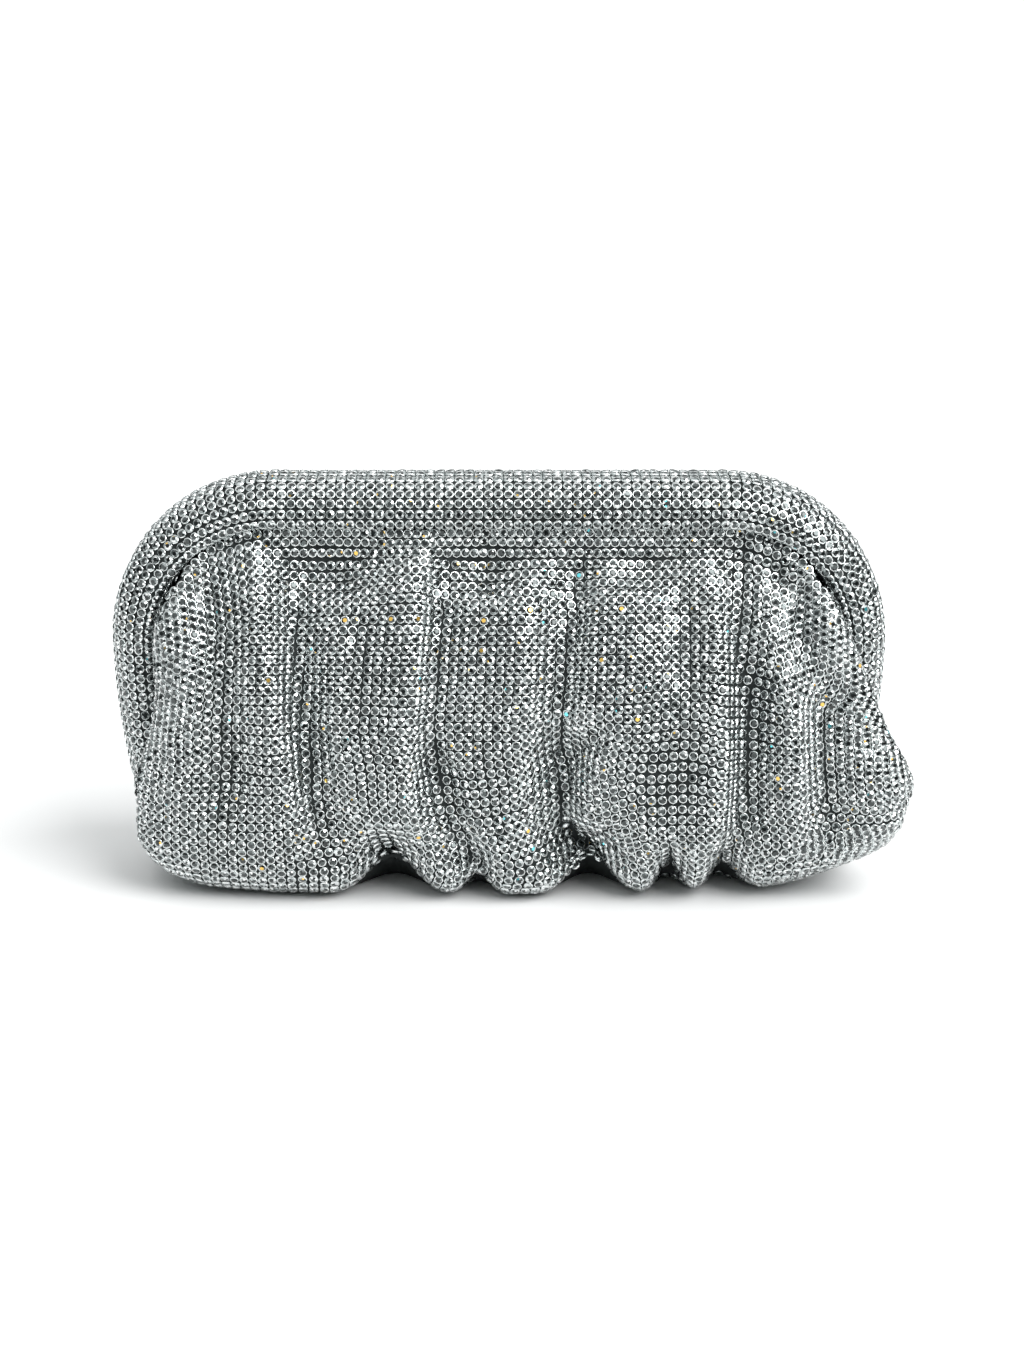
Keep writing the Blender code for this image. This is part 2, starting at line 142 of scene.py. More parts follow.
FRONT_RECESSES = [
    # top, middle, low, from, to, rise, reach, steep
    (-0.430, -0.430, -0.430, 0.95, 0.72, -0.125, 0.090, 0.0),
    (-0.030, -0.030, -0.030, 0.95, 0.72, -0.125, 0.090, 0.0),
    (0.365, 0.365, 0.365, 0.95, 0.72, -0.125, 0.095, 0.0),
    (0.730, 0.730, 0.730, 0.94, 0.73, -0.070, 0.050, 0.0),
]

FRONT_HOLLOWS = [
    # top, middle, low, from, to, rise, reach, steep
    (-0.300, -0.275, -0.265, 0.24, -0.30, -0.380, 0.080, 0.0),
    (-0.055, -0.055, -0.055, 0.19, -0.30, -0.190, 0.040, 0.0),
    (0.240, 0.240, 0.240, 0.26, -0.30, -0.380, 0.070, 0.0),
    (0.445, 0.445, 0.445, 0.20, -0.30, -0.260, 0.040, 0.0),
    (0.590, 0.590, 0.590, 0.22, -0.30, -0.260, 0.050, 0.0),
]

BACK_FOLDS = [
    # top, middle, low, from, to, rise, reach, steep
    (-0.720, -0.690, -0.640, 0.88, 0.10, 0.140, 0.065, 0.0),
    (-0.570, -0.545, -0.500, 0.84, 0.14, -0.150, 0.052, 0.0),
    (-0.430, -0.400, -0.380, 0.90, -0.10, 0.130, 0.055, 0.3),
    (-0.280, -0.260, -0.270, 0.80, -0.20, -0.170, 0.050, 0.0),
    (-0.140, -0.120, -0.140, 0.90, 0.10, 0.130, 0.055, 0.0),
    (0.020, 0.040, 0.010, 0.78, -0.20, -0.160, 0.052, 0.0),
    (0.180, 0.200, 0.170, 0.90, 0.05, 0.130, 0.055, -0.3),
    (0.340, 0.350, 0.330, 0.82, -0.20, -0.165, 0.050, 0.0),
    (0.480, 0.500, 0.470, 0.90, 0.10, 0.130, 0.055, 0.0),
    (0.620, 0.640, 0.610, 0.84, -0.10, -0.150, 0.050, 0.0),
    (0.760, 0.780, 0.740, 0.88, 0.12, 0.120, 0.055, 0.0),
]

# Crystal cloth: the pitch of its cups across and down, the cup and the crystal in it, how deep the cups'
# backing cloth lies inside the pouch's outer face, how much the cups tilt, how bright the painted glint of a
# crystal's table gets beside its other facets' painted glints, and the share of facets painted with a
# coloured flash.
PITCH_ACROSS = 0.00320
PITCH_DOWN = 0.00320
CUP_SIDES = 8
CUP_RADIUS = 0.00160
CUP_HEIGHT = 0.00070
CUP_CREST = 0.93
LIP_WIDTH = 0.00020
LIP_DROP = 0.00022
CROWN_WIDTH = 0.00052
CROWN_RISE = 0.00038
BACKING_SINK = 0.0009
BACKING_THICKNESS = 0.0005
CUP_TILT = 0.10
TABLE_PAINTED_GLINT = 0.42
PAINTED_FLASH_SHARE = 0.005

# The panels' top, just under the roll, how far below it the first row stands, how far past it a row may
# still reach, and how far apart, in pitches, two rows let a short row in between.
PANEL_TOP = 0.886 * FRAME_HEIGHT
TOP_ROW_DOWN = PITCH_DOWN / 6
PAST_TOP = PITCH_DOWN / 8
SHORT_ROW_GAP = 1.6

# The rows of cups on each half of the roll, how far the last of them stands from the belly, in cups, and
# where one more row stands under the roll, as a share of its underside.
ROLL_ROWS = 7
BELLY_SHARE = 0.85
UNDER_ROW = 0.55

# Rows of cups drop towards the sides along the frame's corners: how far round the corner they follow it
# before they run on straight, as a share of its inner radius, and the heights between which the drop fades.
CORNER_FOLLOWED = 0.62
ROW_DROP_FULL = 0.120
ROW_DROP_GONE = 0.030

# Places where the rows are turned by the pull of the folds: where, as shares of half the frame's width and
# of its height, how wide and high the place is, and the rows' slope there, down to the right.
ROW_TURNS = [
    # middle, height, width, reach, slope
    (0.310, 0.240, 0.160, 0.180, 0.62),
    (0.560, 0.340, 0.150, 0.240, 0.48),
    (0.720, 0.600, 0.110, 0.110, 0.22),
    (-0.560, 0.200, 0.180, 0.160, -0.18),
    (-0.180, 0.200, 0.110, 0.140, 0.30),
]

# Points of the skins: columns at the left cheek, between the cheeks and at the right cheek.
FINE_FRONT = (150, 300, 190)
FINE_BACK = (120, 260, 120)
FINE_SIDE = 16
FINE_ROWS = 261
BACKING_FRONT = (40, 88, 54)
BACKING_BACK = (30, 70, 30)
BACKING_SIDE = 5
BACKING_ROWS = 80
BACKING_CROWDING = 1.12

# Steps in which a ring's plan, the roll's arch and the panel's bulge are measured.
PLAN_STEPS = 900
ARCH_STEPS = 59
BULGE_STEPS = 399

# View: the photograph's, in degrees and metres.
CAMERA_ELEVATION = 18.0
CAMERA_DISTANCE = 0.90
FRAMED_HEIGHT = 0.449
CAMERA_AIM = Vector((-0.0003, -0.010, 0.0700))

# Key light: the side that it comes from, its width in degrees and its strength.
SOFTBOX_SIDE = (0.66, -0.46, 0.80)
SOFTBOX_WIDTH = 46.0
SOFTBOX_STRENGTH = 2.8

# Floor: its width, and how far it lies below the bag.
FLOOR_WIDTH = 60.0
FLOOR_BELOW = 0.0003


def half_width():
    return FRAME_WIDTH / 2


def corner_height():
    return FRAME_HEIGHT - CORNER_RADIUS


def corner_across():
    return half_width() - CORNER_RADIUS


def leg_lean(height):
    """How far the leg's outside has tucked in at this height, below the corner."""
    drop = np.clip((corner_height() - height) / (corner_height() - LEG_FOOT_HEIGHT), 0, 1)
    return LEG_TUCK * drop**2


def inside_frame(height):
    """Half width of the space inside the frame at this height, less the cloth's clearance."""
    radius = CORNER_RADIUS - FACE - 2 * SEAT
    above = np.clip(height - corner_height(), 0, radius)
    return corner_across() + np.sqrt(radius**2 - above**2) - leg_lean(height)


def smooth_value(places, values, at):
    """A cubic through the table's rows that never overshoots them. places go up."""
    step = np.diff(places)
    slope = np.diff(values) / step
    product = slope[1:] * slope[:-1]
    inner = np.where(product > 0, 2 * product / (slope[1:] + slope[:-1] + 1e-12), 0)
    tangent = np.concatenate([slope[:1], inner, slope[-1:]])
    at = np.clip(at, places[0], places[-1])
    k = np.clip(np.searchsorted(places, at) - 1, 0, len(step) - 1)
    t = (at - places[k]) / step[k]
    start = values[k] * (1 + 2 * t) * (1 - t) ** 2 + tangent[k] * step[k] * t * (1 - t) ** 2
    end = values[k + 1] * t**2 * (3 - 2 * t) - tangent[k + 1] * step[k] * t**2 * (1 - t)
    return start + end


def section_value(column, height):
    """One column of the table of sections at this height."""
    table = np.array(SECTIONS[::-1])
    return smooth_value(table[:, 0], table[:, column], height / FRAME_HEIGHT)


def ease(t):
    t = np.clip(t, 0, 1)
    return t * t * (3 - 2 * t)


def unit(vectors):
    return vectors / (np.linalg.norm(vectors, axis=-1, keepdims=True) + 1e-12)


def neck_foot():
    """Height above which the pouch is narrowed between the legs, just below the hinge pins."""
    return LEG_FOOT_HEIGHT - 2 * (PIN_RADIUS + SEAT)


def neck_share(height):
    """1 where the legs stand beside the pouch, and 0 below them."""
    return ease((height - NECK_START * neck_foot()) / ((1 - NECK_START) * neck_foot()))


def side_depth(height, depth):
    """Half depth of the pouch's side, which stands within the frame where the legs are."""
    within = min(HALF_DEPTH + SEAT, SIDE_IN_FRAME * depth)
    neck = neck_share(height)
    return neck * within + (1 - neck) * SIDE_BELOW * depth


def lengths_along(points):
    """How far along a line of points each of them is."""
    return np.concatenate([[0], np.cumsum(np.linalg.norm(np.diff(points, axis=0), axis=1))])


def values_at(at, run, values):
    """Values, given at the lengths run of a line, at other lengths of it."""
    return np.stack([np.interp(at, run, values[:, k]) for k in range(values.shape[1])], axis=1)


def spread(points, count):
    """Cuts a line of points into count even steps, both ends kept."""
    run = lengths_along(points)
    return values_at(np.linspace(0, run[-1], count + 1), run, points)


def side_wall(edge_x, side, swell, columns):
    """Plan points of a side from its middle to its edge at edge_x, bulging out by swell."""
    away = np.linspace(0, side, columns + 1)[:-1]
    out = swell * (1 - (away / side) ** 2)
    return np.stack([edge_x + math.copysign(1, edge_x) * out, away], axis=1)


def half_ring(height, front, columns, side_columns):
    """Plan of one half of a ring before its folds, from the left side's middle to the right side's."""
    depth = section_value(1 if front else 2, height) * POUCH_HALF_DEPTH
    square = section_value(3, height)
    side = side_depth(height, depth)
    neck = neck_share(height)
    fullness = 1 if front else 1 - neck * (1 - BACK_CHEEK)
    left = section_value(4, height) * half_width() * fullness
    right = section_value(5, height) * half_width() * fullness

    angle = np.linspace(0, math.pi, PLAN_STEPS + 1)
    across = -np.sign(np.cos(angle)) * np.abs(np.cos(angle)) ** (2 / square)
    away = side + (depth - side) * np.abs(np.sin(angle)) ** (2 / square)
    past_leg = ease((away - side) / (CHEEK_TURN * POUCH_HALF_DEPTH))
    reach = np.where(across < 0, -left, right) * (1 - neck * (1 - past_leg))
    x = across * inside_frame(height) + reach * ease(2 * np.abs(across))
    plan = np.stack([x, away], axis=1)
    cheek = CHEEK_START * half_width()
    cuts = [0, np.argmax(x > -cheek), np.argmax(x > cheek), len(x) - 1]
    panel = plan[:1]
    for count, start, stop in zip(columns, cuts, cuts[1:]):
        panel = np.concatenate([panel, spread(plan[start:stop + 1], count)[1:]])

    swell = SIDE_SWELL * (1 - neck) * side
    left_side = side_wall(x[0], side, swell, side_columns)
    right_side = side_wall(x[-1], side, swell, side_columns)
    return np.concatenate([left_side, panel, right_side[::-1]]) * (1, -1 if front else 1)


def fold_height(table, x, z):
    """How far the folds of a table lift the cloth at x, z."""
    lift = np.zeros_like(x)
    for top, middle, low, start, end, rise, reach, steep in table:
        along = np.clip((start - z / FRAME_HEIGHT) / (start - end), 0, 1)
        bend = 2 * middle - (top + low) / 2
        line = (1 - along) ** 2 * top + 2 * along * (1 - along) * bend + along**2 * low
        off = (x / half_width() - line) / reach
        off = off * (1 + steep * np.tanh(FOLD_SHARPNESS * off))
        ends = ease(along / FOLD_END) * ease((1 - along) / FOLD_END)
        lift += rise * ends * np.exp(-(off**2))
    return lift * POUCH_HALF_DEPTH


def outward(grid):
    """Unit normals of a closed grid of rings, which go from the rim down."""
    across = np.roll(grid, -1, axis=1) - np.roll(grid, 1, axis=1)
    down = np.gradient(grid, axis=0)
    normal = np.cross(down, across)
    return unit(normal)


def pouch_skin(heights, front_columns, back_columns, side_columns):
    """Closed rings of the folded pouch, from the rim down, and how many points of a ring are its front."""
    rings = []
    for height in heights:
        front = half_ring(height, True, front_columns, side_columns)
        back = half_ring(height, False, back_columns, side_columns)
        plan = np.concatenate([front, back[-2:0:-1]])
        rings.append(np.column_stack([plan, np.full(len(plan), height)]))
    grid = np.array(rings)
    x, y, z = grid[..., 0], grid[..., 1], grid[..., 2]
    above_rest = ease(z / FADE_AT_REST)
    below_roll = ease((FRAME_HEIGHT - FACE - z) / RECESS_EASED)
    front_lift = fold_height(FRONT_FOLDS, x, z) + fold_height(FRONT_RECESSES, x, z) * below_roll
    front_lift = front_lift * above_rest + fold_height(FRONT_HOLLOWS, x, z)
    lift = np.where(y < 0, front_lift, fold_height(BACK_FOLDS, x, z) * above_rest)
    beside_leg = ease((np.abs(y) - HALF_DEPTH - SEAT) / FADE_BESIDE_LEG)
    inboard = ease((SIDE_MARGIN * inside_frame(z) - np.abs(x)) / FADE_AT_SIDE)
    under_roll = ease((FRAME_HEIGHT - FACE - z) / FADE_UNDER_ROLL)
    away = outward(grid)
    away[..., 2] *= above_rest
    away = unit(away)
    skin = grid + away * (lift * np.maximum(beside_leg, inboard) * under_roll)[..., None]
    skin[..., 2] = np.maximum(skin[..., 2], 0)
    return skin, len(front)


# The U's middle and the mouth's seam, where the construction model has them.
front_low, front_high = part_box("front_frame")
back_low, back_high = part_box("back_frame")
BAG_MIDDLE = np.array([
    (front_low[0] + front_high[0]) / 2,
    (front_high[1] + back_low[1]) / 2,
    0.0,
])


def deselect_all():
    if bpy.context.object and bpy.context.object.mode != "OBJECT":
        bpy.ops.object.mode_set(mode="OBJECT")
    bpy.ops.object.select_all(action="DESELECT")


def select_faces(piece, wanted):
    """Selects the faces for which wanted(face) holds, in edit mode."""
    bm = bmesh.from_edit_mesh(piece.data)
    bm.faces.ensure_lookup_table()
    for face in bm.faces:
        face.select_set(False)
    for face in bm.faces:
        if wanted(face):
            face.select_set(True)
    bmesh.update_edit_mesh(piece.data)


# One crystal in its cup, which all the others are copies of.
def crystal_in_cup():
    """A turned cup with a rolled lip, and a crystal with eight crown facets and a table. Lies on z = 0."""
    deselect_all()
    bpy.ops.mesh.primitive_cylinder_add(
        vertices=CUP_SIDES, radius=CUP_RADIUS, depth=CUP_HEIGHT, end_fill_type="NGON",
        location=(0, 0, CUP_HEIGHT / 2),
    )
    cup = bpy.context.object
    cup.name = "crystal_pattern"
    bpy.ops.object.transform_apply(location=True)
    bpy.ops.object.mode_set(mode="EDIT")
    bpy.ops.mesh.select_mode(type="FACE")

    # Its wall leans in to the crest, and its lip rolls over and down to the crystal's girdle.
    select_faces(cup, lambda face: face.normal.z > 0.9)
    bpy.ops.transform.resize(value=(CUP_CREST, CUP_CREST, 1), center_override=(0, 0, 0))
    bpy.ops.mesh.inset(thickness=LIP_WIDTH, depth=-LIP_DROP)

    # The crown rises from the girdle to the table.
    bpy.ops.mesh.inset(thickness=CROWN_WIDTH, depth=CROWN_RISE)

    # The underside lies on the cloth and is left open.
    select_faces(cup, lambda face: face.normal.z < -0.9)
    bpy.ops.mesh.delete(type="FACE")
    bpy.ops.object.mode_set(mode="OBJECT")
    girdle = CUP_HEIGHT - LIP_DROP
    for face in cup.data.polygons:
        crown = face.center.length > 0 and face.center.z > girdle and face.normal.z > 0.5
        inward = face.center.x * face.normal.x + face.center.y * face.normal.y < -1e-9
        face.material_index = 1 if crown and not inward else 0
        face.use_smooth = face.material_index == 0
    return cup


class Cups:
    """Places of cups: the point under each, the way out of the cloth, and the way along its row."""

    def __init__(self):
        self.points = []
        self.outs = []
        self.alongs = []

    def add(self, points, outs, alongs):
        self.points.append(points)
        self.outs.append(outs)
        self.alongs.append(alongs)

    def where(self, keep):
        """The cups for which keep(points) holds."""
        points, outs, alongs = self.joined()
        kept = keep(points)
        some = Cups()
        some.add(points[kept], outs[kept], alongs[kept])
        return some

    def joined(self):
        return np.concatenate(self.points), np.concatenate(self.outs), np.concatenate(self.alongs)


def row_levels():
    """Heights of the rows of cups at the middle, evenly spaced over the bulge of the panel."""
    heights = np.linspace(0, PANEL_TOP, BULGE_STEPS + 1)
    depths = section_value(1, heights) * POUCH_HALF_DEPTH
    run = np.concatenate([[0], np.cumsum(np.hypot(np.diff(heights), np.diff(depths)))])
    at = np.arange(run[-1] - TOP_ROW_DOWN, 0, -PITCH_DOWN)
    return np.interp(at, run, heights)


def row_drop(x, level):
    """How far a row has dropped at x."""
    radius = PANEL_TOP - TOP_ROW_DOWN - corner_height()
    past = np.clip(np.abs(x) - corner_across(), 0, None)
    turned = np.minimum(past, CORNER_FOLLOWED * radius)
    slope_on = CORNER_FOLLOWED / math.sqrt(1 - CORNER_FOLLOWED**2)
    share = ease((level - ROW_DROP_GONE) / (ROW_DROP_FULL - ROW_DROP_GONE))
    drop = (radius - np.sqrt(radius**2 - turned**2) + (past - turned) * slope_on) * share
    for middle, height, width, reach, slope in ROW_TURNS:
        off = x / half_width() - middle
        near = np.exp(-((off / width) ** 2) - ((level / FRAME_HEIGHT - height) / reach) ** 2)
        drop = drop + slope * off * half_width() * near
    return drop


def row_on_skin(level, heights, skin, outs):
    """A row's line over the skin, its way out, and which of its points lie on the panel."""
    every = np.arange(skin.shape[1])
    under = level - row_drop(skin[..., 0], level) - heights[:, None]
    kept = (under >= 0).any(axis=0) & (under[0] < PAST_TOP)
    low = np.clip(np.argmax(under >= 0, axis=0) - 1, 0, len(heights) - 2)
    before, after = under[low, every], under[low + 1, every]
    share = np.clip(before / (before - after - 1e-12), 0, 1)[:, None]
    points = skin[low, every] * (1 - share) + skin[low + 1, every] * share
    normals = outs[low, every] * (1 - share) + outs[low + 1, every] * share
    return points, unit(normals), kept.astype(float)


def panel_cups(heights, skin, outs, columns):
    """Cups of one half of the pouch, in rows from side to side. heights and the skin's rings go down."""
    cups = Cups()
    left_mark = FINE_SIDE + columns[0]
    right_mark = left_mark + columns[1]
    levels = row_levels()
    curves = [row_on_skin(level, heights, skin, outs) for level in levels]

    # Short rows come in where two rows part too far, below the legs.
    for above, below, upper, lower in zip(levels, levels[1:], curves[:], curves[1:]):
        points, normals, kept = row_on_skin((above + below) / 2, heights, skin, outs)
        parted = np.linalg.norm(lower[0] - upper[0], axis=1) > SHORT_ROW_GAP * PITCH_DOWN
        below_legs = above < LEG_FOOT_HEIGHT + 2 * PITCH_DOWN
        if below_legs and (parted & (kept > 0)).any():
            curves.append((points, normals, kept * parted))

    # Every row has as many cups between the cheeks, so they stand in columns. Past them it keeps the pitch.
    runs = [lengths_along(points) for points, _, _ in curves]
    middle_count = round(np.mean([run[right_mark] - run[left_mark] for run in runs]) / PITCH_ACROSS)
    for (points, normals, kept), run in zip(curves, runs):
        start, stop = run[left_mark], run[right_mark]
        middle = start + (np.arange(middle_count) + 0.5) * (stop - start) / middle_count
        left = np.arange(start - PITCH_ACROSS / 2, 0, -PITCH_ACROSS)[::-1]
        right = np.arange(stop + PITCH_ACROSS / 2, run[-1], PITCH_ACROSS)
        at = np.concatenate([left, middle, right])
        at = at[np.interp(at, run, kept) > 0.5]
        place = values_at(at, run, points)
        out = unit(values_at(at, run, normals))
        ahead = values_at(at + PITCH_ACROSS / 3, run, points)
        behind = values_at(at - PITCH_ACROSS / 3, run, points)
        cups.add(place, out, unit(ahead - behind))
    return cups


def hidden_by_frame(points):
    """Cups of the pouch that would stand between the legs, where nothing sees them."""
    x, y, z = points[:, 0], points[:, 1], points[:, 2]
    inner = np.abs(x) > inside_frame(z) - CUP_RADIUS / 2
    return (z > LEG_FOOT_HEIGHT + CUP_RADIUS) & inner & (np.abs(y) < HALF_DEPTH - 2 * PITCH_ACROSS)


def roll_section():
    """The frame half's outer skin from the mouth's seam to its belly: (below the crown, from the seam)."""
    turn = np.linspace(0, math.pi / 2, ARCH_STEPS + 1)
    arch = np.stack([ARCH_SHARE * FACE * (1 - np.cos(turn)), HALF_DEPTH * np.sin(turn)], axis=1)
    arch[0] = (SEAM_DROP, SEAM_GAP)
    belly = np.array([[BELLY_DROP * FACE, BELLY_DEPTH * HALF_DEPTH], [FACE, UNDERSIDE_DEPTH * HALF_DEPTH]])
    return np.concatenate([arch[arch[:, 0] >= SEAM_DROP], belly])


def crown_line():
    """The crown of the U from foot to foot, as (x, z, outward x, outward z), in steps of the pitch.

    Round the corners the step is measured a third down the roll, so cups neither gape nor pile up there.
    """
    legs = np.arange(LEG_FOOT_HEIGHT + PITCH_ACROSS / 2, corner_height(), PITCH_ACROSS)
    middle_radius = CORNER_RADIUS - FACE / 3
    turns = np.arange(math.pi, math.pi / 2, -PITCH_ACROSS / middle_radius)
    left = [(-(half_width() - leg_lean(z)), z, -1.0, 0.0) for z in legs]
    for turn in turns:
        x = -corner_across() + CORNER_RADIUS * math.cos(turn)
        z = corner_height() + CORNER_RADIUS * math.sin(turn)
        left.append((x, z, math.cos(turn), math.sin(turn)))
    count = round(2 * corner_across() / PITCH_ACROSS)
    places = np.linspace(-corner_across(), corner_across(), count + 1)
    straight = [(x, FRAME_HEIGHT, 0.0, 1.0) for x in places]
    right = [(-x, z, -out_x, out_z) for x, z, out_x, out_z in reversed(left)]
    return np.array(left + straight + right)


def frame_cups(side):
    """Cups of one half of the frame, in rows along the U. side is -1 in front and +1 behind."""
    section = roll_section()
    run = lengths_along(section)
    line = crown_line()
    cups = Cups()
    rows = np.linspace(CUP_RADIUS + 2 * SEAM_GAP, run[-2] - BELLY_SHARE * CUP_RADIUS, ROLL_ROWS)
    under = run[-2] + UNDER_ROW * (run[-1] - run[-2])
    for at in [*rows, under]:
        near = at + np.array([-PITCH_DOWN / 4, 0, PITCH_DOWN / 4])
        drops = np.interp(near, run, section[:, 0])
        aways = np.interp(near, run, section[:, 1])
        fall = drops[2] - drops[0]
        leave = aways[2] - aways[0]
        depth = np.full(len(line), side * aways[1])
        across = line[:, 0] - line[:, 2] * drops[1]
        up = line[:, 1] - line[:, 3] * drops[1]
        points = np.stack([across, depth, up], axis=1)
        away = np.full(len(line), side * fall)
        out = np.stack([line[:, 2] * leave, away, line[:, 3] * leave], axis=1)
        along = np.gradient(points, axis=0)
        cups.add(points, unit(out), unit(along))
    return cups


def field_of_crystals(name, pattern, cups, sink, seed):
    """One mesh of copies of the pattern, each tilted a little; each face gets a random painted glint, and a
    random number for the cups' tone and the crystals' painted coloured flashes.
    """
    points, outs, alongs = cups.joined()
    chance = np.random.default_rng(seed)
    count = len(points)
    across = unit(np.cross(outs, alongs))
    tilt = CUP_TILT * chance.standard_normal((count, 2))
    outs = unit(outs + tilt[:, :1] * alongs + tilt[:, 1:] * across)
    alongs = unit(alongs - outs * np.sum(alongs * outs, axis=1, keepdims=True))
    across = np.cross(outs, alongs)

    shape = np.array([vertex.co for vertex in pattern.data.vertices])
    faces = [list(face.vertices) for face in pattern.data.polygons]
    corners = np.concatenate(faces)
    sizes = np.array([len(face) for face in faces])
    turns = np.stack([alongs, across, outs], axis=1)
    places = points - outs * sink + BAG_MIDDLE
    vertices = places[:, None, :] + np.einsum("vk,nkj->nvj", shape, turns)

    # Cups that the bag rests on are pressed up into the cloth.
    below = np.minimum(vertices[..., 2].min(axis=1), 0)
    vertices[..., 2] -= below[:, None]
    loops = corners[None, :] + (np.arange(count) * len(shape))[:, None]
    starts = np.concatenate([[0], np.cumsum(np.tile(sizes, count))[:-1]])

    mesh = bpy.data.meshes.new(name)
    mesh.vertices.add(count * len(shape))
    mesh.vertices.foreach_set("co", vertices.ravel())
    mesh.loops.add(loops.size)
    mesh.loops.foreach_set("vertex_index", loops.ravel())
    mesh.polygons.add(count * len(faces))
    mesh.polygons.foreach_set("loop_start", starts)
    mesh.polygons.foreach_set("loop_total", np.tile(sizes, count))
    slots = np.array([face.material_index for face in pattern.data.polygons])
    mesh.polygons.foreach_set("material_index", np.tile(slots, count))
    mesh.polygons.foreach_set("use_smooth", np.tile(slots == 0, count))

    # Painted glints: each facet gets a random brightness, and the table's painted glint is held darker.
    flat = np.array([face.normal.z > 0.99 for face in pattern.data.polygons])
    shares = chance.random((count, len(faces))) * np.where(flat, TABLE_PAINTED_GLINT, 1.0)
    painted_glint = mesh.attributes.new("painted_glint", "FLOAT", "FACE")
    painted_glint.data.foreach_set("value", shares.ravel())
    # A random number per face: on the cups a random tone, on the crystals the pick of a rare painted
    # coloured flash.
    tone_and_painted_flash = mesh.attributes.new("tone_and_painted_flash", "FLOAT", "FACE")
    tone_and_painted_flash.data.foreach_set("value", chance.random(count * len(faces)))
    mesh.update(calc_edges=True)
    piece = bpy.data.objects.new(name, mesh)
    bpy.context.collection.objects.link(piece)
    return piece


def backing_cloth():
    """The cloth under the pouch's cups: a closed sleeve from the rim down, with a flat bottom."""
    rim = FRAME_HEIGHT - FACE + RIM_RISE
    share = np.linspace(0, 1, BACKING_ROWS)
    top = [rim, SECTIONS[1][0] * FRAME_HEIGHT]
    heights = np.concatenate([top, SECTIONS[2][0] * FRAME_HEIGHT * (1 - share) ** BACKING_CROWDING])
    skin, _ = pouch_skin(heights, BACKING_FRONT, BACKING_BACK, BACKING_SIDE)
    skin = skin - outward(skin) * BACKING_SINK
    skin[..., 2] = np.maximum(skin[..., 2], BACKING_SINK)
    rows, columns = skin.shape[:2]

    deselect_all()
    bpy.ops.mesh.primitive_grid_add(x_subdivisions=columns, y_subdivisions=rows - 1, size=1)
    cloth = bpy.context.object
    cloth.name = "pouch_cloth"
    closed = np.concatenate([skin, skin[:, :1]], axis=1)[::-1] + BAG_MIDDLE
    cloth.data.vertices.foreach_set("co", closed.ravel())
    bpy.ops.object.transform_apply(location=True)

    # The sleeve's two edges are sewn, its bottom is filled, and its faces are turned outwards.
    bpy.ops.object.mode_set(mode="EDIT")
    bpy.ops.mesh.select_all(action="SELECT")
    bpy.ops.mesh.remove_doubles(threshold=1e-6)
    bpy.ops.mesh.select_all(action="DESELECT")
    bm = bmesh.from_edit_mesh(cloth.data)
    lowest = min(vertex.co.z for vertex in bm.verts)
    for edge in bm.edges:
        low = all(vertex.co.z < lowest + 1e-6 for vertex in edge.verts)
        edge.select_set(low and edge.is_boundary)
    bmesh.update_edit_mesh(cloth.data)
    bpy.ops.mesh.edge_face_add()
    bpy.ops.mesh.select_all(action="SELECT")
    bpy.ops.mesh.normals_make_consistent(inside=False)
    bpy.ops.object.mode_set(mode="OBJECT")
    cloth.data.shade_smooth()

    wall = cloth.modifiers.new("cloth", "SOLIDIFY")
    wall.thickness = BACKING_THICKNESS
    wall.offset = -1
    bpy.ops.object.modifier_apply(modifier=wall.name)
    return cloth


def new_material(name):
    look = bpy.data.materials.new(name)
    look.use_nodes = True
    return look, look.node_tree.nodes, look.node_tree.links


def ramp(nodes, stops):
    """A colour ramp through (place, colour) stops."""
    node = nodes.new("ShaderNodeValToRGB")
    elements = node.color_ramp.elements
    while len(elements) > 1:
        elements.remove(elements[-1])
    elements[0].position = stops[0][0]
    elements[0].color = (*stops[0][1], 1)
    for place, colour in stops[1:]:
        elements.new(place).color = (*colour, 1)
    return node


def silver_cup_look():
    """Plated cups: bright metal that differs a little from cup to cup."""
    look, nodes, links = new_material("silver_cups")
    shader = nodes["Principled BSDF"]
    tone_and_painted_flash = nodes.new("ShaderNodeAttribute")
    tone_and_painted_flash.attribute_name = "tone_and_painted_flash"
    tone = ramp(nodes, [(0.0, (0.62, 0.66, 0.66)), (0.5, (0.86, 0.90, 0.90)), (1.0, (0.96, 0.98, 0.97))])
    links.new(tone_and_painted_flash.outputs["Fac"], tone.inputs["Fac"])
    links.new(tone.outputs["Color"], shader.inputs["Base Color"])
    shader.inputs["Metallic"].default_value = 1.0
    shader.inputs["Roughness"].default_value = 0.18
    return look


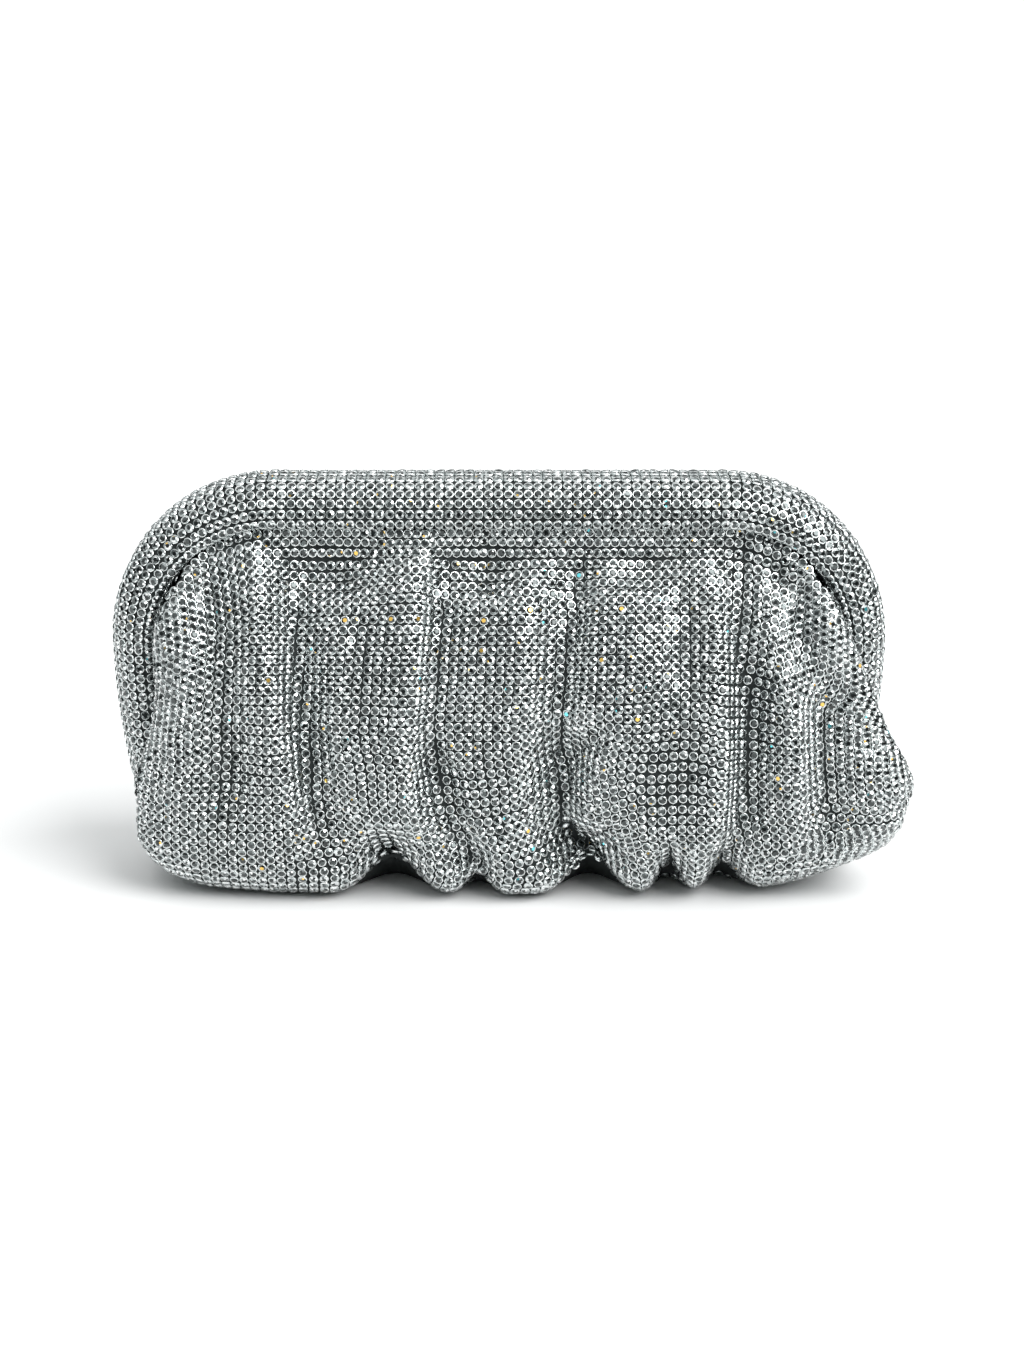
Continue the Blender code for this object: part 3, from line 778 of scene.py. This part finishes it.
def crystal_look():
    """Foiled crystals with painted glints: each facet's base colour is a painted glint, from near black to
    white, and a few facets get a painted coloured flash.
    """
    look, nodes, links = new_material("foiled_crystals_painted_glints")
    shader = nodes["Principled BSDF"]
    painted_glint = nodes.new("ShaderNodeAttribute")
    painted_glint.attribute_name = "painted_glint"
    # Painted glint: the facet's random share gives its base colour, from near black to white.
    facet = ramp(nodes, [
        (0.0, (0.010, 0.014, 0.014)),
        (0.40, (0.055, 0.068, 0.068)),
        (0.68, (0.36, 0.40, 0.40)),
        (0.84, (0.92, 0.95, 0.95)),
        (1.0, (1.0, 1.0, 1.0)),
    ])
    links.new(painted_glint.outputs["Fac"], facet.inputs["Fac"])

    tone_and_painted_flash = nodes.new("ShaderNodeAttribute")
    tone_and_painted_flash.attribute_name = "tone_and_painted_flash"
    # Painted coloured flashes: orange, blue, cyan or pink, given to the rarest facets in place of their
    # painted glint.
    flash = ramp(nodes, [
        (0.0, (1.0, 0.62, 0.12)),
        (0.0020, (0.16, 0.34, 1.0)),
        (0.0035, (0.20, 0.90, 1.0)),
        (0.0045, (1.0, 0.35, 0.42)),
    ])
    flash.color_ramp.interpolation = "CONSTANT"
    links.new(tone_and_painted_flash.outputs["Fac"], flash.inputs["Fac"])
    rare = nodes.new("ShaderNodeMath")
    rare.operation = "LESS_THAN"
    rare.inputs[1].default_value = PAINTED_FLASH_SHARE
    links.new(tone_and_painted_flash.outputs["Fac"], rare.inputs[0])
    with_painted_flash = nodes.new("ShaderNodeMix")
    with_painted_flash.data_type = "RGBA"
    links.new(rare.outputs["Value"], with_painted_flash.inputs["Factor"])
    links.new(facet.outputs["Color"], with_painted_flash.inputs["A"])
    links.new(flash.outputs["Color"], with_painted_flash.inputs["B"])
    links.new(with_painted_flash.outputs["Result"], shader.inputs["Base Color"])
    shader.inputs["Metallic"].default_value = 0.85
    shader.inputs["Roughness"].default_value = 0.10
    shader.inputs["Coat Weight"].default_value = 1.0
    shader.inputs["Coat Roughness"].default_value = 0.03
    return look


def backing_look():
    """Grey-green woven cloth under the cups, kept near black as painted shade in the gaps between the cups.
    """
    look, nodes, links = new_material("backing_cloth")
    shader = nodes["Principled BSDF"]
    place = nodes.new("ShaderNodeTexCoord")
    weave = nodes.new("ShaderNodeTexChecker")
    weave.inputs["Scale"].default_value = 1600.0
    links.new(place.outputs["Object"], weave.inputs["Vector"])
    shade = nodes.new("ShaderNodeTexNoise")
    shade.inputs["Scale"].default_value = 220.0
    links.new(place.outputs["Object"], shade.inputs["Vector"])
    # Painted shade: the cloth's tone is near black, for the shade between the cups; the noise varies it at
    # random.
    tone = ramp(nodes, [(0.3, (0.010, 0.013, 0.013)), (0.7, (0.030, 0.036, 0.036))])
    links.new(shade.outputs["Fac"], tone.inputs["Fac"])
    links.new(tone.outputs["Color"], shader.inputs["Base Color"])
    bump = nodes.new("ShaderNodeBump")
    bump.inputs["Strength"].default_value = 0.3
    bump.inputs["Distance"].default_value = 0.0002
    links.new(weave.outputs["Fac"], bump.inputs["Height"])
    links.new(bump.outputs["Normal"], shader.inputs["Normal"])
    shader.inputs["Roughness"].default_value = 0.85
    shader.inputs["Specular IOR Level"].default_value = 0.25
    return look


def plated_look():
    """Plated pins and clasp, lightly brushed."""
    look, nodes, links = new_material("plated_hardware")
    shader = nodes["Principled BSDF"]
    place = nodes.new("ShaderNodeTexCoord")
    brush = nodes.new("ShaderNodeTexNoise")
    brush.inputs["Scale"].default_value = 900.0
    links.new(place.outputs["Object"], brush.inputs["Vector"])
    rough = nodes.new("ShaderNodeMapRange")
    rough.inputs["To Min"].default_value = 0.22
    rough.inputs["To Max"].default_value = 0.38
    links.new(brush.outputs["Fac"], rough.inputs["Value"])
    links.new(rough.outputs["Result"], shader.inputs["Roughness"])
    shader.inputs["Base Color"].default_value = (0.62, 0.62, 0.60, 1)
    shader.inputs["Metallic"].default_value = 1.0
    return look


def dress(name, *looks):
    """Gives a node or piece its finishes."""
    piece = bpy.data.objects[name]
    piece.data.materials.clear()
    for look in looks:
        piece.data.materials.append(look)


def make_floor():
    deselect_all()
    bpy.ops.mesh.primitive_plane_add(size=FLOOR_WIDTH, location=(0, 0, -FLOOR_BELOW))
    floor = bpy.context.object
    floor.name = "floor"
    look, nodes, links = new_material("pale_floor")
    shader = nodes["Principled BSDF"]
    shader.inputs["Base Color"].default_value = (0.87, 0.87, 0.87, 1)
    shader.inputs["Roughness"].default_value = 0.6
    shader.inputs["Specular IOR Level"].default_value = 0.0
    floor.data.materials.append(look)


def make_light():
    """A pale studio: white all round the camera's view, brighter from above than from the sides."""
    world = bpy.data.worlds.new("studio")
    bpy.context.scene.world = world
    world.use_nodes = True
    nodes, links = world.node_tree.nodes, world.node_tree.links
    nodes.clear()
    place = nodes.new("ShaderNodeTexCoord")
    split = nodes.new("ShaderNodeSeparateXYZ")
    links.new(place.outputs["Generated"], split.inputs["Vector"])
    level = nodes.new("ShaderNodeMapRange")
    level.inputs["From Min"].default_value = -1.0
    links.new(split.outputs["Z"], level.inputs["Value"])
    sky = ramp(nodes, [
        (0.0, (0.20, 0.21, 0.21)),
        (0.50, (0.04, 0.05, 0.05)),
        (0.62, (0.075, 0.085, 0.085)),
        (0.76, (0.42, 0.45, 0.45)),
        (1.0, (1.0, 1.0, 1.0)),
    ])
    links.new(level.outputs["Result"], sky.inputs["Fac"])
    around = nodes.new("ShaderNodeBackground")
    around.inputs["Strength"].default_value = 1.42
    links.new(sky.outputs["Color"], around.inputs["Color"])
    white = nodes.new("ShaderNodeBackground")
    white.inputs["Color"].default_value = (1, 1, 1, 1)
    seen = nodes.new("ShaderNodeLightPath")
    mix = nodes.new("ShaderNodeMixShader")
    links.new(seen.outputs["Is Camera Ray"], mix.inputs["Fac"])
    links.new(around.outputs["Background"], mix.inputs[1])
    links.new(white.outputs["Background"], mix.inputs[2])
    output = nodes.new("ShaderNodeOutputWorld")
    links.new(mix.outputs["Shader"], output.inputs["Surface"])

    sun = bpy.data.lights.new("softbox", "SUN")
    sun.energy = SOFTBOX_STRENGTH
    sun.angle = math.radians(SOFTBOX_WIDTH)
    lamp = bpy.data.objects.new("softbox", sun)
    bpy.context.collection.objects.link(lamp)
    lamp.rotation_euler = Vector(SOFTBOX_SIDE).to_track_quat("Z", "Y").to_euler()


def make_camera():
    camera = bpy.data.cameras.new("camera")
    camera.lens = camera.sensor_width / 2 / (FRAMED_HEIGHT / 2 / CAMERA_DISTANCE)
    holder = bpy.data.objects.new("camera", camera)
    bpy.context.collection.objects.link(holder)
    tilt = math.radians(CAMERA_ELEVATION)
    back = Vector((0, -math.cos(tilt), math.sin(tilt)))
    holder.location = CAMERA_AIM + back * CAMERA_DISTANCE
    holder.rotation_euler = (-back).to_track_quat("-Z", "Y").to_euler()
    bpy.context.scene.camera = holder
    bpy.context.scene.view_settings.view_transform = "Standard"


make_camera()
make_floor()
make_light()

cups_look = silver_cup_look()
stones_look = crystal_look()
cloth_look = backing_look()
metal_look = plated_look()

# The pouch: its backing cloth, and its cups in rows on the finely drawn skin.
pouch_cloth = backing_cloth()
pouch_cloth.data.materials.append(cloth_look)
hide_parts("pouch_front", "pouch_back")

fine_heights = np.linspace(PANEL_TOP, 0, FINE_ROWS)
fine_skin, front_points = pouch_skin(fine_heights, FINE_FRONT, FINE_BACK, FINE_SIDE)
fine_outs = outward(fine_skin)
front_half = slice(0, front_points)
back_order = np.concatenate([[0], np.arange(fine_skin.shape[1] - 1, front_points - 2, -1)])

front_cups = panel_cups(fine_heights, fine_skin[:, front_half], fine_outs[:, front_half], FINE_FRONT)
back_cups = panel_cups(fine_heights, fine_skin[:, back_order], fine_outs[:, back_order], FINE_BACK)

pattern = crystal_in_cup()
fields = []
for name, cups, seed in (("front", front_cups, 11), ("back", back_cups, 23)):
    cups = cups.where(lambda points: ~hidden_by_frame(points))
    left = cups.where(lambda points: points[:, 0] < 0)
    right = cups.where(lambda points: points[:, 0] >= 0)
    fields.append(field_of_crystals(f"crystals_{name}_left", pattern, left, BACKING_SINK, seed))
    fields.append(field_of_crystals(f"crystals_{name}_right", pattern, right, BACKING_SINK, seed + 1))
for name, side, seed in (("front", -1, 31), ("back", 1, 37)):
    fields.append(field_of_crystals(f"crystals_frame_{name}", pattern, frame_cups(side), 0.0, seed))
bpy.data.objects.remove(pattern, do_unlink=True)

for field in fields:
    field.data.materials.append(cups_look)
    field.data.materials.append(stones_look)
    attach(field, "root")

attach(pouch_cloth, "root")
# The frame's roll takes the same cloth, near black as painted shade between its cups.
dress("front_frame", cloth_look)
dress("back_frame", cloth_look)
for name in ("hinge_pin_left", "hinge_pin_right", "clasp"):
    dress(name, metal_look)
